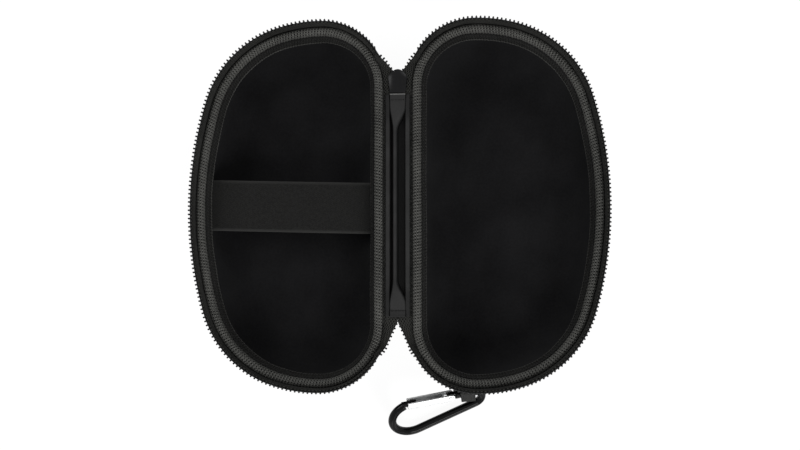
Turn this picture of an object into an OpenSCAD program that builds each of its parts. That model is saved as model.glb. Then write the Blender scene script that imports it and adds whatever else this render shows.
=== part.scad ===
// Goggle case: two domed shells joined by a folding spine, closed by one zip on the other three sides.
// Lengths are in millimetres. The case lies open and flat, both domes down. The origin is the centre
// of the base shell's flat bottom. X runs across the case away from the spine, Y along the spine, Z up.

/* [Shell outline] */
// Width of one half, from the hinge-side edge of its rim to the outer edge of its rim
half_w = 91; // [84:1:110]
// Length of one half over its rim
half_l = 175; // [165:1:200]
// Radius of the flatter curve across each end
end_r = 70; // [60:1:80]
// Radius of the two outer corners
outer_corner_r = 50; // [44:1:56]

/* [Shell section] */
// Height of the moulded rim above the floor
rim_z = 26; // [25:0.5:45]
// Outer radius between wall and flat bottom
dome_r = 20; // [14:0.5:22]
// Outward lean of the wall, in degrees
draft = 5; // [2:0.5:8]
// Thickness of the outer fabric
fabric_t = 0.5; // [0.4:0.1:0.8]
// Thickness of the moulded foam
foam_t = 2.6; // [2:0.1:4]
// Thickness of the lining
lining_t = 0.5; // [0.4:0.1:0.8]

/* [Binding] */
// Radius of the rounded roll of tape on the rim
roll_r = 1.95; // [1.6:0.05:2.2]
// Height of the roll's centre above the foam edge
roll_up = 0.6; // [0.4:0.1:0.9]
// Depth of the tape's inner leg below the foam edge
leg_depth = 6.4; // [4:0.2:9]
// Thickness of the tape's inner leg
leg_t = 1.0; // [0.8:0.1:1.4]
// Thickness of the hem along the leg's lower edge
hem_t = 2.1; // [1.4:0.05:2.3]

/* [Spine] */
// Width of the spine between its two fold lines
spine_w = 11.8; // [11.4:0.2:14]
// Half the length of the spine
spine_half = 54; // [48:1:56]
// Distance from the roll's outer edge to the fold line
fold_out = 1.4; // [1.4:0.1:2]
// Thickness of the spine's inner strip
strip_t = 0.6; // [0.4:0.1:0.7]
// Depth of the two valleys of the inner strip at mid-length
valley = 2.9; // [1.5:0.1:3.1]
// Offset of the ridge between them towards the lid at mid-length
ridge_off = 1.2; // [0:0.1:1.4]
// Depth of the outward bow of the backing
bow = 3.9; // [3.9:0.1:5]
// Thickness of the backing
backing_t = 0.5; // [0.4:0.1:0.8]

/* [Zip] */
// Distance from one coil turn to the next
pitch = 2.0; // [1.9:0.1:2.4]
// Thickness of the zip tape
tape_t = 0.5; // [0.4:0.05:0.6]
// Outward lean of the tape and coil above the rim, in degrees
zip_lean = 10; // [6:1:14]
// Length of zip tape sewn to the wall below the rim
tape_sewn = 6; // [4:0.5:8]
// Width of a turn's leg along the tape
leg_w = 0.6; // [0.5:0.05:0.7]
// Width of a turn's coupling head along the tape
head_w = 0.9; // [0.75:0.05:0.95]
// Depth of the coil, square to the tape
coil_d = 1.5; // [1.2:0.1:1.7]
// How far a turn reaches past the middle of the closed zip
reach = 0.72; // [0.6:0.02:0.8]

/* [Slider] */
// Width of the slider
slider_w = 8.4; // [7.6:0.1:8.6]
// Length of the slider
slider_l = 11.6; // [11:0.2:12.4]
// Thickness of each slider plate
plate_t = 1.0; // [0.8:0.1:1.2]
// Width of the pull tab
pull_w = 7; // [5:0.5:9]
// Length of the pull tab below its hinge bar
pull_l = 18.6; // [14:0.2:19]

/* [Strap] */
// Width of the elastic strap in the lid
strap_w = 25; // [20:1:38]
// Thickness of the elastic strap
strap_t = 1.2; // [0.8:0.1:1.6]
// Height of the strap's underside above the floor
strap_z = 18.2; // [14:0.2:18.2]
// Offset of each strap end along the spine, to opposite sides
strap_slant = 1.1; // [0:0.1:3]

/* [Carabiner] */
// Diameter of the carabiner's bar
bar_d = 4; // [3.6:0.1:4.2]
// Radius of the bar's centre line round the wide end
wide_r = 10; // [9.8:0.05:10.2]
// Radius of the bar's centre line round the narrow end
narrow_r = 4.4; // [4.3:0.05:4.5]
// Turn of the carabiner on the floor, in degrees from X
car_yaw = 24.6; // [23:0.2:26]
// Rise of the carabiner's plane about its long bar, in degrees
car_rise = 48; // [47:0.5:50]
// Width of the webbing loop
loop_w = 6.5; // [5:0.5:6.5]
// Thickness of the webbing
web_t = 1.0; // [0.8:0.1:1.1]

/* [Hidden] */
$fn = 96;
// First edge of the rim at the spine, and the two fold lines
rim_x = -half_w / 2;
fold_x = rim_x - fold_out;
spine_x = fold_x - spine_w / 2;
// Outline arcs, joined without a break: the long side S, outer corner B, end curve T, hinge corner A.
// They meet on slopes of 7 in 24 from the axes and on the axes, so every centre is a short decimal.
long_c = 0.96;
short_c = 0.28;
side_a = asin(short_c);
end_to = acos(short_c);
side_exact = (half_l / 2 - long_c * outer_corner_r - (1 - long_c) * end_r) / short_c + outer_corner_r;
side_r = round(4 * side_exact) / 4;
sx = half_w - side_r;
bx = sx + (side_r - outer_corner_r) * long_c;
by = (side_r - outer_corner_r) * short_c;
tx = bx - (end_r - outer_corner_r) * short_c;
ty = by - (end_r - outer_corner_r) * long_c;
hinge_corner_r = tx;
ay = ty + end_r - hinge_corner_r;
end_from = 90;
// Angle on each hinge corner where the zip leaves it, to 0.01 degree, from the distance along the spine
path_o = 1.5;
function leave_a(v) = round(100 * (180 - asin((v - ay) / (hinge_corner_r + path_o)))) / 100;
top_a = leave_a(spine_half + 16.2);
low_a = leave_a(spine_half + 9.8);
// Overlap of neighbouring arcs, in degrees
lap = 0.0001;
// Each arc: centre x, centre y, radius, first angle, last angle
closed_arcs = [
    [sx, 0, side_r, -side_a, side_a],
    [bx, by, outer_corner_r, side_a, end_to],
    [tx, ty, end_r, end_to, end_from],
    [hinge_corner_r, ay, hinge_corner_r, end_from, 180],
    [hinge_corner_r, -ay, hinge_corner_r, 180, 360 - end_from],
    [tx, -ty, end_r, 360 - end_from, 360 - end_to],
    [bx, -by, outer_corner_r, 360 - end_to, 360 - side_a]
];
// The zip's run in order, from the hinge corner at +Y round the outer side to the one at -Y
zip_arcs = [
    [hinge_corner_r, ay, hinge_corner_r, top_a, end_from],
    [tx, ty, end_r, end_from, end_to],
    [bx, by, outer_corner_r, end_to, side_a],
    [sx, 0, side_r, side_a, -side_a],
    [bx, -by, outer_corner_r, -side_a, -end_to],
    [tx, -ty, end_r, -end_to, -end_from],
    [hinge_corner_r, -ay, hinge_corner_r, -end_from, -low_a]
];
// Height of the middle plane of the closed case
mid_z = rim_z + spine_w / 2;
tape_top = spine_w / 2 - 0.6;
wall_t = fabric_t + foam_t + lining_t;
// Section of the wall: outer face at a height, and the centre of the dome radius
wall_top = -0.1;
function face(z) = wall_top - (rim_z - z) * tan(draft);
function lined(z) = face(z) - wall_t / cos(draft);
dome_o = wall_top - (dome_r + (rim_z - dome_r) * sin(draft)) / cos(draft);
flat_o = dome_o - 3;

module hinge_side_run(half) {
    // Straight run of a section beside the spine
    translate([rim_x, -half, 0])
        rotate([90, 0, 180])
            linear_extrude(2 * half)
                children();
}

module arc_run(a) {
    // One arc of the outline swept with the section given, run a hair past its ends into its neighbours
    translate([rim_x + a[0], a[1], 0])
        rotate_extrude(angle = abs(a[4] - a[3]) + 2 * lap, start = min(a[3], a[4]) - lap)
            translate([a[2], 0])
                children();
}

module rim_run() {
    // A section carried all the way round the half
    hinge_side_run(ay) children();
    for (a = closed_arcs)
        arc_run(a) children();
}

module zip_run() {
    // A section carried round the three sides that have the zip
    for (a = zip_arcs)
        arc_run(a) children();
}

// Dome's outer face moved in by an inset, from the flat bottom up to the rim, as points of the section
dome_steps = 12;
function dome_line(inset, top) =
    let (r = dome_r - inset)
        concat(
            [[flat_o, inset]],
            [
                for (i = [0 : dome_steps])
                    let (t = (90 - draft) * i / dome_steps)
                        [dome_o + r * sin(t), dome_r - r * cos(t)]
            ],
            [[face(top) - inset / cos(draft), top]]
        );
function backwards(line) = [for (i = [len(line) - 1 : -1 : 0]) line[i]];

module skin(from, to, top) {
    // One layer of the shell between two insets, open at the top
    rim_run()
        polygon(concat(dome_line(from, top), backwards(dome_line(to, top))));
    translate([0, 0, from])
        linear_extrude(to - from)
            polygon(inner_outline(dome_o - 1.5));
}

function arc_points(a, o, n) = [
    for (i = [0 : n])
        let (t = a[3] + (a[4] - a[3]) * i / n)
            [rim_x + a[0] + (a[2] + o) * cos(t), a[1] + (a[2] + o) * sin(t)]
];
// The outline moved by an offset, as points
function inner_outline(o) = [
    for (a = closed_arcs)
        for (i = [0 : 11])
            arc_points(a, o, 12)[i]
];

module mirrored() {
    // The lid's side of the spine
    translate([2 * spine_x, 0, 0])
        mirror([1, 0, 0])
            children();
}

module fold_lip() {
    // Narrow lip of fabric from the rim to just short of the fold line
    lip = fold_out - 0.45;
    translate([rim_x - lip, -spine_half, rim_z - 0.4])
        cube([lip + 0.4, 2 * spine_half, 0.4]);
}

module half_fabric() {
    skin(0, fabric_t, rim_z - 0.1);
    fold_lip();
}

module half_foam() {
    skin(fabric_t, fabric_t + foam_t, rim_z);
}

module half_lining() {
    skin(fabric_t + foam_t, wall_t, rim_z - 0.1);
}

module binding_2d() {
    // Rounded roll on the foam edge, stitch groove, and the leg down the lining with its hem
    foot = rim_z - leg_depth;
    intersection() {
        translate([-roll_r - 0.05, rim_z + roll_up]) circle(roll_r);
        translate([-5, rim_z]) square([6, 4]);
    }
    polygon([
        [lined(foot), foot],
        [lined(rim_z), rim_z],
        [lined(rim_z) + 0.3, rim_z],
        [lined(rim_z) + 0.3, rim_z + 0.8],
        [lined(rim_z) - 0.6, rim_z + 0.5],
        [lined(rim_z) - leg_t, rim_z],
        [lined(foot + 1.8) - leg_t, foot + 1.8],
        [lined(foot + 1.4) - hem_t, foot + 1.4],
        [lined(foot + 0.3) - hem_t, foot + 0.3],
        [lined(foot) - hem_t + 0.35, foot]
    ]);
}

module zip_tape_2d() {
    // Sewn part on the wall, and the free part that leans out and carries the coil
    low = rim_z - tape_sewn;
    out = tape_top * tan(zip_lean);
    polygon([
        [face(low), low],
        [face(rim_z), rim_z],
        [face(rim_z) + out, rim_z + tape_top],
        [face(rim_z) + out + tape_t, rim_z + tape_top],
        [face(rim_z) + tape_t, rim_z],
        [face(low) + tape_t, low]
    ]);
}

// Lengths of the zip's arcs at the coil, and their running sums
function arc_len(a) = (a[2] + path_o) * abs(a[4] - a[3]) * PI / 180;
function run_to(n) = n == 0 ? 0 : arc_len(zip_arcs[n - 1]) + run_to(n - 1);
zip_len = run_to(7);
turns = floor(zip_len / pitch) - 1;
// Arc number that holds a distance, and the turn's angle on it
function arc_at(d, n = 0) = n == 6 || d <= run_to(n + 1) ? n : arc_at(d, n + 1);
function angle_at(d, n) =
    let (a = zip_arcs[n])
        a[3] + (a[4] - a[3]) * (d - run_to(n)) / arc_len(a);
tip = (spine_w / 2 + reach) / cos(zip_lean);
root = tip - 2.8;

module turn_2d(base) {
    // One turn of the coil seen square to the tape: leg and wider coupling head
    polygon([
        [-leg_w / 2, base],
        [leg_w / 2, base],
        [leg_w / 2, base + 1.35],
        [head_w / 2, base + 1.65],
        [head_w / 2, base + 2.35],
        [head_w / 2 - 0.2, base + 2.8],
        [-head_w / 2 + 0.2, base + 2.8],
        [-head_w / 2, base + 2.35],
        [-head_w / 2, base + 1.65],
        [-leg_w / 2, base + 1.35]
    ]);
}

module zip_coil(shift) {
    // Turns at equal steps along the tape, joined by the coil's inner cord
    for (k = [0 : turns - 1]) {
        d = pitch * (k + 0.5) + shift;
        n = arc_at(d);
        a = zip_arcs[n];
        t = angle_at(d, n);
        translate([rim_x + a[0] + a[2] * cos(t), a[1] + a[2] * sin(t), 0])
            rotate([0, 0, t])
                translate([face(rim_z), 0, rim_z])
                    rotate([0, zip_lean, 0])
                        translate([tape_t, 0, 0])
                            rotate([90, 0, 90])
                                linear_extrude(coil_d)
                                    turn_2d(root);
    }
    zip_run()
        translate([face(rim_z), rim_z])
            rotate(-zip_lean)
                translate([tape_t + 0.3, root + 0.15])
                    square([coil_d - 0.6, 0.6]);
}

// Inner strip of the spine: how deep its valleys and how wide its flats are along its length
function pinch(v) = pow(max(0, cos(90 * v / (spine_half - 4))), 0.7);
function strip_line(v) =
    let (
        p = pinch(v),
        e = spine_w / 2 - 0.15,
        ridge = 3.4 - 2.7 * p,
        flat = e - 1.6,
        mid = -ridge_off * p,
        lid_slope = 0.42 * (flat - ridge + mid),
        base_slope = 0.42 * (flat - ridge - mid),
        d = valley * p
    ) [
        [-e, 0],
        [-flat, 0],
        [-flat + lid_slope, -d],
        [mid - ridge - lid_slope, -d],
        [mid - ridge, 0.2],
        [mid + ridge, 0.2],
        [mid + ridge + base_slope, -d],
        [flat - base_slope, -d],
        [flat, 0],
        [e, 0]
    ];
strip_rows = 27;

module spine_strip_body() {
    // Sheet closed from its upper line back along its lower line, row by row
    rows = [
        for (j = [0 : strip_rows - 1])
            let (
                v = -spine_half + 2 * spine_half * j / (strip_rows - 1),
                line = strip_line(v),
                n = len(line)
            )
                concat(
                    [for (p = line) [spine_x + p[0], v, rim_z + 0.35 + p[1]]],
                    [for (i = [n - 1 : -1 : 0]) [spine_x + line[i][0], v, rim_z + 0.35 - strip_t + line[i][1]]]
                )
    ];
    m = len(rows[0]);
    polyhedron(
        points = [for (r = rows) for (p = r) p],
        faces = concat(
            [
                for (j = [0 : strip_rows - 2])
                    for (i = [0 : m - 1])
                        for (f = [
                            [j * m + i, j * m + (i + 1) % m, (j + 1) * m + (i + 1) % m],
                            [j * m + i, (j + 1) * m + (i + 1) % m, (j + 1) * m + i]
                        ])
                            f
            ],
            [
                for (i = [0 : m / 2 - 2])
                    for (f = [
                        [m - 1 - i, m - 2 - i, i + 1],
                        [m - 1 - i, i + 1, i]
                    ])
                        f
            ],
            [
                for (i = [0 : m / 2 - 2])
                    for (f = [[i, i + 1, m - 2 - i], [i, m - 2 - i, m - 1 - i]])
                        [for (q = f) (strip_rows - 1) * m + q]
            ]
        ),
        convexity = 6
    );
}

module spine_backing_body() {
    // Outward-bowed strip that carries the fold on the outside
    e = spine_w / 2 - 0.15;
    translate([spine_x, spine_half, rim_z])
        rotate([90, 0, 0])
            linear_extrude(2 * spine_half)
                polygon([
                    [-e, -0.3],
                    [-e + 1.1, -bow + 1],
                    [-e + 2.7, -bow],
                    [e - 2.7, -bow],
                    [e - 1.1, -bow + 1],
                    [e, -0.3],
                    [e - 0.6, -0.3],
                    [e - 1.5, -bow + 1 + backing_t],
                    [e - 2.9, -bow + backing_t],
                    [-e + 2.9, -bow + backing_t],
                    [-e + 1.5, -bow + 1 + backing_t],
                    [-e + 0.6, -0.3]
                ]);
}

// Closed chain and parting rows at each end of the spine. Each end: where the rows start to part, the
// radius they bend on, the slope in degrees at which they run on straight, and where they end.
top_row = [spine_half + 3, 22, 40, spine_half + 15.6];
low_row = [spine_half + 0.6, 8, 24, spine_half + 9];
chain_z = rim_z - 1.95;
function bend_x(d, r, a) = d <= 0 ? 0 : d <= r * sin(a) ? r - sqrt(r * r - d * d) : straight_x(d, r, a);
function straight_x(d, r, a) = r * (1 - cos(a)) + (d - r * sin(a)) * tan(a);
function row_x(v, row) = 0.9 + bend_x(v - row[0], row[1], row[2]);
function row_turn(v, row) = v <= row[0] ? 0 : min(row[2], asin(min(1, (v - row[0]) / row[1])));

module chain_row(first, row) {
    // Flat tape of one row, and its turns
    steps = 12;
    row_to = row[3];
    translate([0, 0, chain_z + 0.5])
        linear_extrude(tape_t)
            polygon(concat(
                [
                    for (i = [0 : steps])
                        let (v = spine_half + 0.3 + (row_to - spine_half - 0.3) * i / steps)
                            [row_x(v, row) - 0.5, v]
                ],
                [[spine_w / 2 - 0.4, row_to], [spine_w / 2 - 0.4, spine_half + 0.3]]
            ));
    for (v = [first : pitch : row_to - 0.6])
        translate([row_x(v, row), v, chain_z])
            rotate([0, 0, 90 - row_turn(v, row)])
                linear_extrude(coil_d)
                    translate([0, -1.4])
                        turn_2d(0);
}

module chain_end(row) {
    // Both rows, which lie turn between turn where the chain is closed
    chain_row(spine_half + 1.1, row);
    mirror([1, 0, 0]) chain_row(spine_half + 1.1 + pitch / 2, row);
}

module slider_plan() {
    // Straight tail and round nose
    nose = slider_w / 2;
    translate([-nose, 0]) square([slider_w, slider_l - nose]);
    translate([0, slider_l - nose]) circle(nose);
}

slider_y = spine_half + 0.4;
slider_top = rim_z + 1.1;
slider_low = rim_z - 3.5;

module slider_body_solid() {
    // Two plates, the wedge between the rows, and the rims that hold them in
    flange_h = 0.85;
    flange_l = 6.2;
    translate([spine_x, slider_y, 0]) {
        translate([0, 0, slider_top - plate_t]) linear_extrude(plate_t) slider_plan();
        translate([0, 0, slider_low]) linear_extrude(plate_t) slider_plan();
        translate([0, 0, slider_low + plate_t / 2])
            linear_extrude(slider_top - slider_low - plate_t)
                polygon([
                    [0, slider_l - 2.7],
                    [0.7, slider_l - 0.9],
                    [0, slider_l - 0.2],
                    [-0.7, slider_l - 0.9]
                ]);
        for (s = [-1, 1])
            translate([s * (slider_w / 2 - 0.45) - 0.45, 0, 0]) {
                translate([0, 0, slider_top - plate_t - flange_h]) cube([0.9, flange_l, flange_h + 0.3]);
                translate([0, 0, slider_low + plate_t - 0.3]) cube([0.9, flange_l, flange_h + 0.3]);
            }
    }
}

bail_y = slider_y + 5.6;

module slider_bail_solid() {
    // Arched strap on the slider's outer plate
    translate([spine_x - 1.1, bail_y, slider_low])
        rotate([90, 0, 90])
            linear_extrude(2.2)
                polygon([
                    [-3.4, 0],
                    [-3.0, -1.6],
                    [-2.2, -2.4],
                    [2.2, -2.4],
                    [3.0, -1.6],
                    [3.4, 0],
                    [2.5, 0],
                    [2.2, -1.2],
                    [1.7, -1.5],
                    [-1.7, -1.5],
                    [-2.2, -1.2],
                    [-2.5, 0]
                ]);
}

pull_z = slider_low - 0.75;

module pull_tab_solid() {
    // Round hinge bar through the arch, window below it, and the hanging grip
    translate([spine_x, bail_y + 0.55, pull_z])
        rotate([90, 0, 0])
            linear_extrude(1.1)
                difference() {
                    union() {
                        translate([-pull_w / 2 + 0.6, -5.4]) square([pull_w - 1.2, 5.7]);
                        translate([-pull_w / 2, -pull_l + pull_w / 2]) square([pull_w, pull_l - pull_w / 2 - 5]);
                        translate([0, -pull_l + pull_w / 2]) circle(pull_w / 2);
                    }
                    translate([-1.6, -4.4]) square([3.2, 5]);
                    translate([0, -pull_l + pull_w / 2]) circle(1.6);
                }
    translate([spine_x - 1.7, bail_y, pull_z])
        rotate([0, 90, 0])
            cylinder(r = 0.5, h = 3.4);
}

strap_in = lined(strap_z);

module strap_tab(x, y, lean) {
    // End of the strap turned up behind the binding's leg
    translate([x, y + strap_w / 2, strap_z])
        rotate([90, 0, 0])
            linear_extrude(strap_w)
                polygon([
                    [0, 0],
                    [lean * 5.6 * tan(draft), 5.6],
                    [lean * (5.6 * tan(draft) - 0.7), 5.6],
                    [lean * -0.7, 0]
                ]);
}

strap_far = rim_x + half_w + strap_in - 0.42;
strap_near = rim_x - strap_in + 0.02;

module strap_tabs() {
    strap_tab(strap_far, strap_slant, 1);
    strap_tab(strap_near, -strap_slant, -1);
}

module elastic_strap_solid() {
    // Taut band across the lid with its two turned-up ends
    w = strap_w / 2;
    translate([0, 0, strap_z])
        linear_extrude(strap_t)
            polygon([
                [strap_near + 0.01, -strap_slant - w],
                [strap_far - 0.01, strap_slant - w],
                [strap_far - 0.01, strap_slant + w],
                [strap_near + 0.01, -strap_slant + w]
            ]);
    strap_tabs();
}

// Carabiner in its own plane: long bar along X, gate side at +Y
bar_r = bar_d / 2;
// The gate's line drops 44 in 117 towards the narrow end, which sets how far apart the ends are
wide_c = [-12.6, 0];
ends_apart = 5.5 * (wide_r - narrow_r);
narrow_c = [wide_c[0] + ends_apart, narrow_r - wide_r];
gate_s = 0.352;
gate_c = 0.936;
gate_a = -asin(gate_s);
gate_n = [gate_s, gate_c];
gate_d = [-gate_c, gate_s];
narrow_t = narrow_c + narrow_r * gate_n;
top_bar = 11.8;
// The narrow end's arc runs this many degrees into the top bar
bar_lap = 0.002;
pivot = narrow_t + top_bar * gate_d;
car_origin = [rim_x + 10, -half_l / 2 - 9.6, bar_r + 0.05 + wide_r * sin(car_rise)];

module car_place() {
    translate(car_origin)
        rotate([0, 0, car_yaw])
            rotate([car_rise, 0, 0])
                children();
}

module gate_frame() {
    // Gate's own frame: X from the pivot to the nose, Y outward, Z across the bar
    translate([pivot[0], pivot[1], 0])
        rotate([0, 0, gate_a])
            mirror([1, 0, 0])
                children();
}

gate_l = 21.6;

module carabiner_frame_solid() {
    // Long bar, both round ends, top bar with its knuckle, and the nose with its tongue
    translate([wide_c[0], -wide_r, 0]) rotate([0, 90, 0]) cylinder(r = bar_r, h = ends_apart);
    translate([wide_c[0], wide_c[1], 0])
        rotate_extrude(angle = 178, start = 92)
            translate([wide_r, 0]) circle(bar_r);
    translate([narrow_c[0], narrow_c[1], 0])
        rotate_extrude(angle = 180 + gate_a + bar_lap, start = -90)
            translate([narrow_r, 0]) circle(bar_r);
    gate_frame() {
        translate([-top_bar, 0, 0]) rotate([0, 90, 0]) cylinder(r = bar_r, h = top_bar - 2.6);
        difference() {
            translate([0, 0, -1]) linear_extrude(2) {
                circle(1.7);
                translate([-3.4, -1.7]) square([3.4, 3.4]);
            }
            translate([0, 0, -2]) cylinder(r = 0.95, h = 4);
        }
        translate([gate_l - 4.4, -0.8, -1]) cube([7.2, 1.9, 2]);
    }
}

module gate_solid() {
    // Channel open on its outer side, with two ears on the pivot
    gate_frame() {
        difference() {
            union() {
                translate([0, 0, -bar_r]) cylinder(r = 1.9, h = bar_d);
                translate([0, -1.9, -bar_r]) cube([gate_l, 3.8, bar_d]);
            }
            translate([-3, -1.1, -1.25]) cube([gate_l + 6, 5, 2.5]);
            translate([-3, -3, -1.25]) cube([5.8, 8, 2.5]);
            translate([0, 0, -3]) cylinder(r = 0.8, h = 6);
        }
    }
}

module gate_pin_solid() {
    // Rivet through both ears with a low head on each side
    gate_frame() {
        translate([0, 0, -bar_r - 0.4]) cylinder(r = 1.3, h = 0.4);
        translate([0, 0, -bar_r - 0.1]) cylinder(r = 0.8, h = bar_d + 0.2);
        translate([0, 0, bar_r]) cylinder(r = 1.3, h = 0.4);
    }
}

module gate_spring_solid() {
    // Straight pusher wire on the channel's floor
    gate_frame()
        translate([2.2, -0.7, 0])
            rotate([0, 90, 0])
                cylinder(r = 0.4, h = 9);
}

// Webbing loop: eye centre, and the top of its sewn tail, in its own plane
loop_at = narrow_t + 2.8 * gate_d;
loop_eye_r = 3.6;
loop_rise = 12.2;
loop_back = 0.95;
eye = [
    car_origin[0] + loop_at[0] * cos(car_yaw) - loop_at[1] * cos(car_rise) * sin(car_yaw),
    car_origin[1] + loop_at[0] * sin(car_yaw) + loop_at[1] * cos(car_rise) * cos(car_yaw),
    car_origin[2] + loop_at[1] * sin(car_rise)
];

module tear_2d(r, wide) {
    // Round eye drawn out to the two tangents that meet at the seam
    top = [loop_back, loop_rise];
    d = norm(top);
    up = atan2(top[1], top[0]);
    open = acos(r / d);
    circle(r);
    polygon([
        [0, 0],
        r * [cos(up - open), sin(up - open)],
        top + [wide, 0],
        top - [wide, 0],
        r * [cos(up + open), sin(up + open)]
    ]);
}

module carabiner_loop_solid() {
    // Eye of the loop, and the doubled tail sewn to the zip tape below the rim
    translate(eye)
        rotate([0, 0, 4])
            rotate([90, 0, 90])
                translate([0, 0, -loop_w / 2])
                    linear_extrude(loop_w) {
                        difference() {
                            tear_2d(loop_eye_r + web_t, 0.9);
                            tear_2d(loop_eye_r, 0.05);
                        }
                        translate([loop_back - web_t, loop_rise - 0.9])
                            square([2 * web_t, 4.6]);
                    }
}

// Node to show, or all

module base_outer_fabric() {
    color("#2c2c2b") half_fabric();
}
module base_foam_shell() {
    color("#1c1c1c") half_foam();
}
module base_lining() {
    color("#141414") half_lining();
}
module base_binding() {
    color("#3b3b39") rim_run() binding_2d();
}
module base_zip_tape() {
    color("#343433") zip_run() zip_tape_2d();
}
module base_zip_coil() {
    color("#2a2a2a") zip_coil(0);
}
module carabiner_loop() {
    color("#242424") carabiner_loop_solid();
}
module lid_outer_fabric() {
    color("#2c2c2b") mirrored() half_fabric();
}
module lid_foam_shell() {
    color("#1c1c1c") mirrored() half_foam();
}
module lid_lining() {
    color("#141414") mirrored() half_lining();
}
module lid_binding() {
    color("#3b3b39")
        mirrored()
            difference() {
                rim_run() binding_2d();
                strap_tabs();
            }
}
module lid_zip_tape() {
    color("#343433") mirrored() zip_run() zip_tape_2d();
}
module lid_zip_coil() {
    color("#2a2a2a") mirrored() zip_coil(pitch / 2);
}
module elastic_strap() {
    color("#1f1f1f") mirrored() elastic_strap_solid();
}
module spine_strip() {
    color("#404040") spine_strip_body();
}
module spine_backing() {
    color("#2c2c2b") spine_backing_body();
}
module zip_chain_top() {
    color("#2a2a2a") translate([spine_x, 0, 0]) chain_end(top_row);
}
module zip_chain_bottom() {
    color("#2a2a2a") translate([spine_x, 0, 0]) mirror([0, 1, 0]) chain_end(low_row);
}
module slider_body() {
    color("#1e1e20") slider_body_solid();
}
module slider_bail() {
    color("#1e1e20") slider_bail_solid();
}
module pull_tab() {
    color("#1e1e20") pull_tab_solid();
}
module carabiner_frame() {
    color("#141414") car_place() carabiner_frame_solid();
}
module carabiner_gate() {
    color("#c9cbcc") car_place() gate_solid();
}
module gate_pivot_pin() {
    color("#b9bbbc") car_place() gate_pin_solid();
}
module gate_spring() {
    color("#9a9c9e") car_place() gate_spring_solid();
}

base_outer_fabric();
base_foam_shell();
base_lining();
base_binding();
base_zip_tape();
base_zip_coil();
carabiner_loop();
lid_outer_fabric();
lid_foam_shell();
lid_lining();
lid_binding();
lid_zip_tape();
lid_zip_coil();
elastic_strap();
spine_strip();
spine_backing();
zip_chain_top();
zip_chain_bottom();
slider_body();
slider_bail();
pull_tab();
carabiner_frame();
carabiner_gate();
gate_pivot_pin();
gate_spring();
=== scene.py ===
import math

import bpy
import numpy as np
from mathutils import Matrix, Vector, noise


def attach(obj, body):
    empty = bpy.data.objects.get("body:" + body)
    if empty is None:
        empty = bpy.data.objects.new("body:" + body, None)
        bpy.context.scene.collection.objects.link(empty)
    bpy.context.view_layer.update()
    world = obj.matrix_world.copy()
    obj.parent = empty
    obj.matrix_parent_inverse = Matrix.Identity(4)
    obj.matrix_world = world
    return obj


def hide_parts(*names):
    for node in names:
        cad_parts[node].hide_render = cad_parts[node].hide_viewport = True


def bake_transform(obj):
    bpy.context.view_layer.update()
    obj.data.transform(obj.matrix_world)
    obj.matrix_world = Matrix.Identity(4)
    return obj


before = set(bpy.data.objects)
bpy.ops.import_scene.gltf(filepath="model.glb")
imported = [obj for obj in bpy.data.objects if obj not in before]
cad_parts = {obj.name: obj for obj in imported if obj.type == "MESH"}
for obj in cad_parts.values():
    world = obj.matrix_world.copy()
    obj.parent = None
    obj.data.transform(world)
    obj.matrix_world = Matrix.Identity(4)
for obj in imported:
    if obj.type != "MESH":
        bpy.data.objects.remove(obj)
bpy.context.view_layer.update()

# Camera: above the open case, from a little nearer the clip and the base than its middle, so that the
# lid shows a touch smaller. At the height of the rims one pixel of the picture covers 0.48 mm.
mm = 0.001
camera_at, camera_tilt = (-0.0124, -0.0572, 0.546), (0.0904, 0.0754, 0)
bpy.ops.object.camera_add(location=camera_at, rotation=camera_tilt)
camera = bpy.context.object
camera.data.sensor_width, camera.data.lens, camera.data.clip_start = 36, 49.1, 0.01
bpy.context.scene.camera = camera
bpy.context.scene.view_settings.view_transform = "Standard"


# Floor and light: a plain white sheet under the case, and plain soft studio lamps. The camera, and
# gloss, see the white itself, and the case still leaves a faint shadow on it.
def rgb(code):
    """An sRGB hex colour as linear red, green, blue and full alpha."""
    parts = [int(code[i : i + 2], 16) / 255 for i in (1, 3, 5)]
    return [c / 12.92 if c <= 0.04045 else ((c + 0.055) / 1.055) ** 2.4 for c in parts] + [1.0]


def put(tree, kind, given=(), **settings):
    """Adds a node to a tree. given holds values or links by socket name or number.

    A node given as a value stands for its first output. settings are the node's own choices, and stops
    are the places and colours of a ramp.
    """
    made = tree.nodes.new("ShaderNode" + kind)
    for k, (place, code) in enumerate(settings.pop("stops", ())):
        stop = made.color_ramp.elements[k]
        stop.position, stop.color = place, rgb(code)
    for key, value in settings.items():
        setattr(made, key, value)
    for key, value in dict(given).items():
        if isinstance(value, bpy.types.Node):
            value = value.outputs[0]
        if isinstance(value, bpy.types.NodeSocket):
            tree.links.new(value, made.inputs[key])
        else:
            made.inputs[key].default_value = value
    return made


def blank(name):
    """A new material and its empty node tree."""
    made = bpy.data.materials.new(name)
    made.use_nodes = True
    made.node_tree.nodes.clear()
    return made, made.node_tree


def sees_white(tree):
    """1 for the rays that see the plain white itself: the camera's, and those of gloss and glass."""
    rays = put(tree, "LightPath").outputs
    some = put(tree, "Math", {0: rays["Is Camera Ray"], 1: rays["Is Glossy Ray"]}, operation="MAXIMUM")
    return put(tree, "Math", {0: some, 1: rays["Is Transmission Ray"]}, operation="MAXIMUM")


white = (1, 1, 1, 1)
bpy.ops.mesh.primitive_plane_add(size=6, location=(0, 0, -0.2 * mm))
floor = bpy.context.object
floor.name = "floor"
floor_white, tree = blank("white_floor")
own_light = put(tree, "Math", {0: sees_white(tree), 1: 0.86}, operation="MULTIPLY")
paper = put(tree, "BsdfDiffuse", {"Color": rgb("#f4f4f4")})
glow = put(tree, "Emission", {"Color": white, "Strength": 1.08})
mixed = put(tree, "MixShader", {0: own_light, 1: paper, 2: glow})
put(tree, "OutputMaterial", {"Surface": mixed})
floor.data.materials.append(floor_white)

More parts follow.
